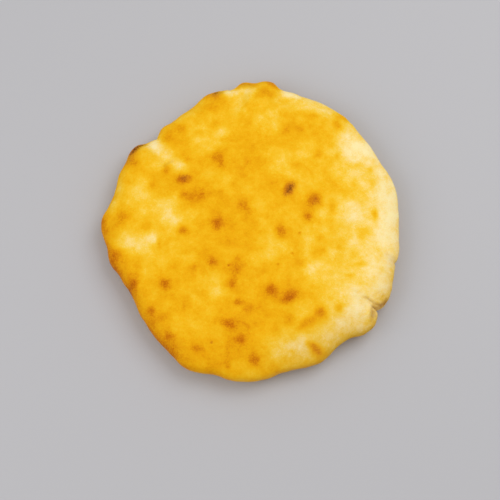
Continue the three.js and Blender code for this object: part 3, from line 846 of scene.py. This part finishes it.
@dataclass
class CrustRelief:
    """The crust's fine relief: blisters, wrinkles, pleats at the rim and the grain of the skin."""

    small_blisters: int = 150
    small_blister_radius: tuple[float, float] = (1.6, 4.2)
    small_blister_rise: tuple[float, float] = (0.08, 0.32)
    narrowest: float = 0.65
    top_reach: float = 92.0
    char_rise: float = 0.3
    fade_start: float = 0.93
    rim_start: float = 0.84
    rim_full: float = 0.97
    rim_fade: float = 0.55
    pleats: Unevenness = Unevenness(5.5, 0.28, 3.1)
    pleat_ring: float = 100.0
    pleat_upright: float = 0.35
    pinch_gather: float = 1.2
    pinch_reach: float = 14.0
    pucker: Unevenness = Unevenness(7.0, 0.16, 11.7)
    grain: Unevenness = Unevenness(2.4, 0.05, 23.9)
    floor_height: float = 3.0
    pressed: float = 0.25
    seed: int = 41

    def scattered(self) -> list[Swell]:
        """Small blisters spread over the top face by a seeded draw.

        Returns:
            The blisters, each up to a third narrower than it is long.
        """
        draw = np.random.default_rng(self.seed)
        blisters = []
        for _ in range(self.small_blisters):
            reach, angle = self.top_reach * math.sqrt(draw.random()), draw.uniform(0, math.tau)
            long = draw.uniform(*self.small_blister_radius)
            rise = draw.uniform(*self.small_blister_rise)
            wide, turn = long * draw.uniform(self.narrowest, 1.0), draw.uniform(0, 180)
            x, y = reach * math.cos(angle), reach * math.sin(angle)
            blisters.append(Swell(x, y, long, wide, turn, rise))
        return blisters

    def lift(self, skin: Skin) -> Array:
        """How far each place of the skin moves outward.

        Args:
            skin: the plain skin.

        Returns:
            The distance in millimetres for each place.
        """
        x, y, z = skin.places.T
        top, heel = skin.zone == Zone.TOP.value, skin.zone == Zone.HEEL.value
        lift = np.zeros_like(x)
        for blister in self.scattered():
            lift += blister.height(x, y)
        lift += self.char_rise * covered(SCORCHED, x, y)
        lift *= top * (1.0 - rise_between(self.fade_start, 1.0, skin.share))
        upward = skin.upward()
        for wrinkle in WRINKLES:
            lift -= wrinkle.depth * wrinkle.cover(x, y) * upward

        rim = top * rise_between(self.rim_start, self.rim_full, skin.share)
        rim += heel * (1.0 - rise_between(self.rim_fade, 1.0, skin.share))
        off_pinch = turn_between(skin.angle, PINCH_ANGLE) / self.pinch_reach
        gathered = 1.0 + self.pinch_gather * bell(off_pinch)
        round_the_rim = laid(self.pleat_ring, skin.angle, z * self.pleat_upright)
        lift += rim * gathered * self.pleats.at(round_the_rim)

        free = blend(self.pressed, 1.0, rise_between(0.0, self.floor_height, z))
        return lift + free * (self.pucker.at(skin.places) + self.grain.at(skin.places))


@dataclass
class CrustTint:
    """The crust's tint: how far each place is baked, how doughy and sooty it is, and its painted
    shade.
    """

    middle: float = 0.56
    right_fade: float = 0.3
    right_start: float = 15.0
    right_end: float = 95.0
    heel_bake: float = 0.42
    base_bake: float = 0.5
    floor_marks: float = 0.4
    floor_mark_start: float = 0.45
    floor_mark_full: float = 0.95
    floor_start: float = 0.75
    floor_evenness: float = 0.5
    floor_patches: Unevenness = Unevenness(16.0, 0.5, 5.5)
    floor_specks: Unevenness = Unevenness(5.0, 0.35, 15.5)
    bare_dough: float = 0.55
    dough_start: float = 2.0
    dough_end: float = -8.0
    dough_evenness: float = 0.8
    dough_patches: Unevenness = Unevenness(9.0, 0.5, 71.9)
    near_dough_rise: float = 5.0
    near_side: float = 283.0
    near_spread: float = 34.0
    nudge_x: Unevenness = Unevenness(4.5, 0.4, 51.3)
    nudge_y: Unevenness = Unevenness(4.5, 0.4, 83.1)
    fine_nudge_x: Unevenness = Unevenness(1.9, 0.3, 7.7)
    fine_nudge_y: Unevenness = Unevenness(1.9, 0.3, 61.9)
    rim_nudge_in: Unevenness = Unevenness(4.0, 0.8, 33.3)
    rim_nudge_round: Unevenness = Unevenness(6.0, 1.0, 44.4)
    most_shade: float = 0.9

    def nudged(self, places: Array) -> tuple[Array, Array]:
        """Nudges places about, so that no mark has an even edge.

        Args:
            places: the places, one in each row.

        Returns:
            Their distances to the right and to the far side.
        """
        x = places[:, 0] + self.nudge_x.at(places) + self.fine_nudge_x.at(places)
        y = places[:, 1] + self.nudge_y.at(places) + self.fine_nudge_y.at(places)
        return x, y

    def layers(self, skin: Skin, inset: Array) -> dict[str, Array]:
        """The tint of each place.

        Args:
            skin: the finished skin.
            inset: way along the skin from the widest line.

        Returns:
            The layers by name: bake, dough, shade (painted shade) and soot.
        """
        x, y = self.nudged(skin.places)
        top, heel, base = ((skin.zone == zone.value).astype(float) for zone in Zone)

        plain = self.middle - self.right_fade * rise_between(self.right_start, self.right_end, x)
        bake = plain + covered(TOASTED + TANNED, x, y) - covered(PALE, x, y)
        patches = self.floor_patches.at(skin.places) + self.floor_specks.at(skin.places)
        patches += self.floor_evenness
        marked = rise_between(self.floor_mark_start, self.floor_mark_full, patches)
        floor_bake = self.base_bake + self.floor_marks * marked
        near_floor = rise_between(self.floor_start, 1.0, skin.share)
        heel_bake = blend(blend(plain, self.heel_bake, skin.share), floor_bake, near_floor)
        bake = top * bake + heel * heel_bake + base * floor_bake

        off_near = turn_between(skin.angle, self.near_side) / self.near_spread
        height = inset - self.near_dough_rise * bell(off_near)
        dough = self.bare_dough * (1.0 - rise_between(self.dough_end, self.dough_start, height))
        dough *= self.dough_evenness + self.dough_patches.at(skin.places)

        soot = top * covered(SCORCHED, x, y)
        x, y = skin.places[:, 0], skin.places[:, 1]
        # Painted shade: wrinkles darkened where they face up, then the rim's folds and turned-away
        # sides
        shade = skin.upward() * sum(wrinkle.shade * wrinkle.cover(x, y) for wrinkle in WRINKLES)

        angle = skin.angle + self.rim_nudge_round.at(skin.places)
        inset = inset + self.rim_nudge_in.at(skin.places)
        bake += covered(RIM_BROWNED, angle, inset)
        soot += covered(RIM_SCORCHED, angle, inset)
        shade += covered(RIM_SHADED, angle, inset)
        return {
            "bake": np.clip(bake, 0.0, MOST_BAKED),
            "dough": np.clip(dough, 0.0, 1.0),
            "shade": np.clip(shade, 0.0, self.most_shade),
            "soot": np.clip(soot, 0.0, 1.0),
        }


class Value:
    """What a socket of a material gives. Where that is a number, operators add Math nodes."""

    def __init__(self, graph: "ShaderGraph", socket: bpy.types.NodeSocket) -> None:
        """Wraps one output socket of a graph."""
        self.graph = graph
        self.socket = socket

    def combined(self, operation: str, first: object, second: object) -> "Value":
        """The value of one Math node on two values or numbers."""
        node = self.graph.add("ShaderNodeMath", {"operation": operation}, {0: first, 1: second})
        return Value(self.graph, node.outputs[0])

    def __add__(self, other: object) -> "Value":
        """Adds a value or number."""
        return self.combined("ADD", self, other)

    __radd__ = __add__

    def __sub__(self, other: object) -> "Value":
        """Takes a value or number away."""
        return self.combined("SUBTRACT", self, other)

    def __rsub__(self, other: object) -> "Value":
        """Takes this value away from a number."""
        return self.combined("SUBTRACT", other, self)

    def __mul__(self, other: object) -> "Value":
        """Multiplies by a value or number."""
        return self.combined("MULTIPLY", self, other)

    __rmul__ = __mul__


class ShaderGraph:
    """A material's node tree, built node by node."""

    def __init__(self, name: str) -> None:
        """Makes an empty material.

        Args:
            name: the material's name.
        """
        self.material = bpy.data.materials.new(name)
        self.material.use_nodes = True
        self.tree = self.material.node_tree
        self.tree.nodes.clear()

    def add(
        self, kind: str, settings: dict[str, object], inputs: dict[str | int, object],
    ) -> bpy.types.Node:
        """Adds a node.

        Args:
            kind: the node's type.
            settings: its properties, and a ramp's stops, set before the sockets.
            inputs: values or links by socket name or number.

        Returns:
            The new node.
        """
        node = self.tree.nodes.new(kind)
        for name, setting in settings.items():
            if name == "stops":
                self.set_stops(node.color_ramp, setting)
            else:
                setattr(node, name, setting)
        for socket, value in inputs.items():
            if isinstance(value, Value):
                self.tree.links.new(value.socket, node.inputs[socket])
            else:
                node.inputs[socket].default_value = value
        return node

    @staticmethod
    def set_stops(ramp: bpy.types.ColorRamp, stops: tuple[tuple[float, Colour], ...]) -> None:
        """Gives a ramp its stops.

        Args:
            ramp: the ramp, with two stops of its own.
            stops: positions from 0 to 1 in order, each with its colour.
        """
        while len(ramp.elements) < len(stops):
            ramp.elements.new(1.0)
        for element, (position, colour) in zip(ramp.elements, stops):
            element.position = position
            element.color = colour

    def attribute(self, name: str) -> Value:
        """A layer painted on the mesh."""
        node = self.add("ShaderNodeAttribute", {"attribute_name": name}, {})
        return Value(self, node.outputs["Fac"])

    def speckle(self, size: float, detail: float, roughness: float) -> Value:
        """Noise that stays with the surface.

        Args:
            size: how wide its patches are, in millimetres.
            detail: how many finer layers it has.
            roughness: how strong the finer layers are.

        Returns:
            A value about 0.
        """
        node = self.add("ShaderNodeTexNoise", {}, {
            "Vector": Value(self, self.add("ShaderNodeTexCoord", {}, {}).outputs["Object"]),
            "Scale": 1.0 / (size * MM),
            "Detail": detail,
            "Roughness": roughness,
        })
        return Value(self, node.outputs["Fac"]) - 0.5

    def surfaced(self, inputs: dict[str, object]) -> bpy.types.Material:
        """Puts a Principled shader on the surface.

        Args:
            inputs: the shader's values or links by socket name.

        Returns:
            The finished material.
        """
        shader = self.add("ShaderNodeBsdfPrincipled", {}, inputs)
        self.add("ShaderNodeOutputMaterial", {}, {"Surface": Value(self, shader.outputs["BSDF"])})
        return self.material

    def step(self, value: Value, start: float, end: float, low: float, high: float) -> Value:
        """A smooth step of a value.

        Args:
            value: the value that is followed.
            start: where the step starts.
            end: where it ends.
            low: its height before the start.
            high: its height beyond the end.

        Returns:
            The height of the step at the value.
        """
        node = self.add("ShaderNodeMapRange", {"interpolation_type": "SMOOTHSTEP"}, {
            "Value": value,
            "From Min": start,
            "From Max": end,
            "To Min": low,
            "To Max": high,
        })
        return Value(self, node.outputs["Result"])

    def ramp(self, value: Value, stops: tuple[tuple[float, Colour], ...]) -> Value:
        """A colour picked from stops by a value."""
        node = self.add("ShaderNodeValToRGB", {"stops": stops}, {"Fac": value})
        return Value(self, node.outputs["Color"])

    def mix(self, share: Value, first: object, second: object) -> Value:
        """Mixes two colours.

        Args:
            share: 0 where only the first counts, up to 1 where only the second does.
            first: the first colour.
            second: the second colour.

        Returns:
            The mixed colour.
        """
        inputs = {"Factor": share, MIX_FIRST: first, MIX_SECOND: second}
        node = self.add("ShaderNodeMix", {"data_type": "RGBA"}, inputs)
        return Value(self, node.outputs[MIX_RESULT])


def paint(code: str) -> Colour:
    """Makes a colour linear by the sRGB curve.

    Args:
        code: the colour's six hexadecimal digits.

    Returns:
        Its red, green, blue and alpha.
    """
    channels = [int(code[k:k + 2], 16) / 255 for k in (0, 2, 4)]
    linear = [c / 12.92 if c <= 0.04045 else ((c + 0.055) / 1.055) ** 2.4 for c in channels]
    return (*linear, 1.0)


@dataclass(frozen=True)
class CrustFinish:
    """Baked crust: cream where pale, gold where baked, brown where toasted, sooty where charred."""

    bake_stops: tuple[tuple[float, str], ...] = (
        (0.0, "feeaac"),
        (0.1, "fde39b"),
        (0.2, "fcd97b"),
        (0.3, "facf51"),
        (0.4, "f8c530"),
        (0.5, "f5bb1a"),
        (0.6, "f1b00c"),
        (0.7, "eba406"),
        (0.8, "df9104"),
        (0.9, "d37f02"),
        (1.0, "c56d02"),
        (1.2, "984c03"),
    )
    dough: str = "ddab68"
    # The tan-brown that the painted shade mixes towards
    shade: str = "a8722c"
    soot_stops: tuple[tuple[float, str], ...] = (
        (0.0, "b8842e"),
        (0.4, "a06a20"),
        (0.7, "5f3a10"),
        (1.0, "301d0b"),
    )
    # The size of each noise's patches in millimetres, its detail and its roughness
    broad: Triple = (19.0, 2.0, 0.5)
    middle: Triple = (8.0, 3.0, 0.55)
    small: Triple = (2.6, 3.0, 0.6)
    fine: Triple = (0.9, 2.0, 0.6)
    broad_mottle: float = 0.36
    middle_mottle: float = 0.46
    small_mottle: float = 0.22
    plain_grain: float = 0.3
    browned_grain: float = 0.65
    grain_start: float = 0.6
    grain_full: float = 1.0
    shade_mottle: float = 0.8
    soot_mottle: float = 1.2
    soot_grain: float = 2.4
    roughness: float = 0.6
    roughness_mottle: float = 0.2
    bump_strength: float = 0.35
    bump_height: float = 0.25
    bump_mottle: float = 0.5
    refraction: float = 1.42
    specular: float = 0.06
    subsurface: float = 0.06
    subsurface_radius: Triple = (1.0, 0.45, 0.12)
    subsurface_scale: float = 0.6

    def material(self) -> bpy.types.Material:
        """Mixes the crust's colour, roughness and bump from the painted layers and the noises.

        Returns:
            The crust's material.
        """
        graph = ShaderGraph("baked_crust")
        broad, middle = graph.speckle(*self.broad), graph.speckle(*self.middle)
        small, fine = graph.speckle(*self.small), graph.speckle(*self.fine)

        baked = graph.attribute("bake")
        grain = graph.step(
            baked, self.grain_start, self.grain_full, self.plain_grain, self.browned_grain)
        mottle = broad * self.broad_mottle + middle * self.middle_mottle + small * self.small_mottle
        baked = (baked + mottle + fine * grain) * (1.0 / MOST_BAKED)
        colour = graph.ramp(baked, self.stops(self.bake_stops, MOST_BAKED))
        colour = graph.mix(graph.attribute("dough"), colour, paint(self.dough))
        # Painted shade in folds and on the rim's turned-away sides, mixed over the crust
        shade = graph.attribute("shade") * (1.0 + small * self.shade_mottle)
        colour = graph.mix(shade, colour, paint(self.shade))
        soot = graph.attribute("soot") * (1.0 + small * self.soot_mottle + fine * self.soot_grain)
        colour = graph.mix(soot, colour, graph.ramp(soot, self.stops(self.soot_stops, 1.0)))

        bump = graph.add("ShaderNodeBump", {}, {
            "Strength": self.bump_strength,
            "Distance": self.bump_height * MM,
            "Height": small * self.bump_mottle + fine,
        })
        return graph.surfaced({
            "Base Color": colour,
            "Roughness": self.roughness + self.roughness_mottle * small,
            "Normal": Value(graph, bump.outputs["Normal"]),
            "IOR": self.refraction,
            "Specular IOR Level": self.specular,
            "Subsurface Weight": self.subsurface,
            "Subsurface Radius": self.subsurface_radius,
            "Subsurface Scale": self.subsurface_scale * MM,
        })

    @staticmethod
    def stops(codes: tuple[tuple[float, str], ...], top: float) -> tuple[tuple[float, Colour], ...]:
        """A ramp's stops, brought from a scale up to top to one up to 1, with linear colours."""
        return tuple((position / top, paint(code)) for position, code in codes)


@dataclass
class Lepinja:
    """The whole bread: one closed crust."""

    weaver: SkinWeaver = field(default_factory=SkinWeaver)
    relief: CrustRelief = field(default_factory=CrustRelief)
    tint: CrustTint = field(default_factory=CrustTint)
    finish: CrustFinish = field(default_factory=CrustFinish)

    def build(self) -> None:
        """Makes the crust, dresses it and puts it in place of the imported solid."""
        skin = self.weaver.weave()
        inset = self.weaver.form.inset(skin.zone, skin.share)
        lift = self.relief.lift(skin)
        skin.places += skin.outward() * lift[:, None]
        skin.places[:, 2] = np.maximum(skin.places[:, 2], 0.0)

        mesh = bpy.data.meshes.new("crust")
        mesh.from_pydata((skin.places * MM).tolist(), [], skin.triangles.tolist())
        mesh.polygons.foreach_set("use_smooth", [True] * len(mesh.polygons))
        for name, layer in self.tint.layers(skin, inset).items():
            painted = mesh.attributes.new(name, "FLOAT", "POINT")
            painted.data.foreach_set("value", layer.astype(np.float32))
        mesh.materials.append(self.finish.material())
        mesh.update()

        crust = bpy.data.objects.new("crust", mesh)
        bpy.context.scene.collection.objects.link(crust)
        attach(crust, "root")
        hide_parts("lepinja")
        LOG.info("crust: %d triangles", len(skin.triangles))


@dataclass(frozen=True)
class SoftLamp:
    """A square lamp over the bread: its place and side in millimetres, its power in watts."""

    name: str
    place: Triple
    power: float
    side: float = 700.0

    def hang(self) -> None:
        """Hangs the lamp."""
        data = bpy.data.lights.new(self.name, "AREA")
        data.size = self.side * MM
        data.energy = self.power
        lamp = bpy.data.objects.new(self.name, data)
        lamp.location = Vector(self.place) * MM
        lamp.rotation_euler = (-lamp.location).to_track_quat("-Z", "Y").to_euler()
        bpy.context.scene.collection.objects.link(lamp)


@dataclass
class Studio:
    """A plain pale floor, soft light and the camera."""

    target: Vector = field(default_factory=lambda: Vector((0.0, -18.0, 15.0)) * MM)
    elevation: float = 72.0
    distance: float = 850.0
    lens: float = 91.2
    sensor: float = 36.0
    floor_size: float = 3000.0
    floor_tone: str = "bcbbbe"
    floor_roughness: float = 0.9
    sky: float = 0.62
    lamps: tuple[SoftLamp, ...] = (
        SoftLamp("key", (470.0, 300.0, 900.0), 3.9),
        SoftLamp("fill", (-700.0, -300.0, 700.0), 2.4),
    )

    def camera(self) -> None:
        """The camera, which looks down on the bread from its near side."""
        data = bpy.data.cameras.new("camera")
        data.lens = self.lens
        data.sensor_width = self.sensor
        camera = bpy.data.objects.new("camera", data)
        rise = math.radians(self.elevation)
        back = Vector((0.0, -math.cos(rise), math.sin(rise)))
        camera.location = self.target + back * self.distance * MM
        camera.rotation_euler = (-back).to_track_quat("-Z", "Y").to_euler()
        bpy.context.scene.collection.objects.link(camera)
        bpy.context.scene.camera = camera

    def floor(self) -> None:
        """The floor that the bread lies on."""
        half = self.floor_size * MM / 2
        corners = [(-half, -half, 0), (half, -half, 0), (half, half, 0), (-half, half, 0)]
        finish = {"Base Color": paint(self.floor_tone), "Roughness": self.floor_roughness}
        mesh = bpy.data.meshes.new("floor")
        mesh.from_pydata(corners, [], [(0, 1, 2, 3)])
        mesh.materials.append(ShaderGraph("plain_floor").surfaced(finish))
        floor = bpy.data.objects.new("floor", mesh)
        bpy.context.scene.collection.objects.link(floor)

    def daylight(self) -> None:
        """An even white sky."""
        world = bpy.data.worlds.new("sky")
        world.use_nodes = True
        background = world.node_tree.nodes["Background"]
        background.inputs["Color"].default_value = (1.0, 1.0, 1.0, 1.0)
        background.inputs["Strength"].default_value = self.sky
        bpy.context.scene.world = world

    def build(self) -> None:
        """Sets the whole studio up."""
        bpy.context.scene.view_settings.view_transform = "Standard"
        self.camera()
        self.floor()
        self.daylight()
        for lamp in self.lamps:
            lamp.hang()
        LOG.info("studio: floor, sky and %d lamps", len(self.lamps))


def main() -> None:
    """Builds the studio and the bread in order."""
    logging.basicConfig(level=logging.INFO, format="%(name)s: %(message)s")
    Studio().build()
    Lepinja().build()


if __name__ == "__main__":
    main()
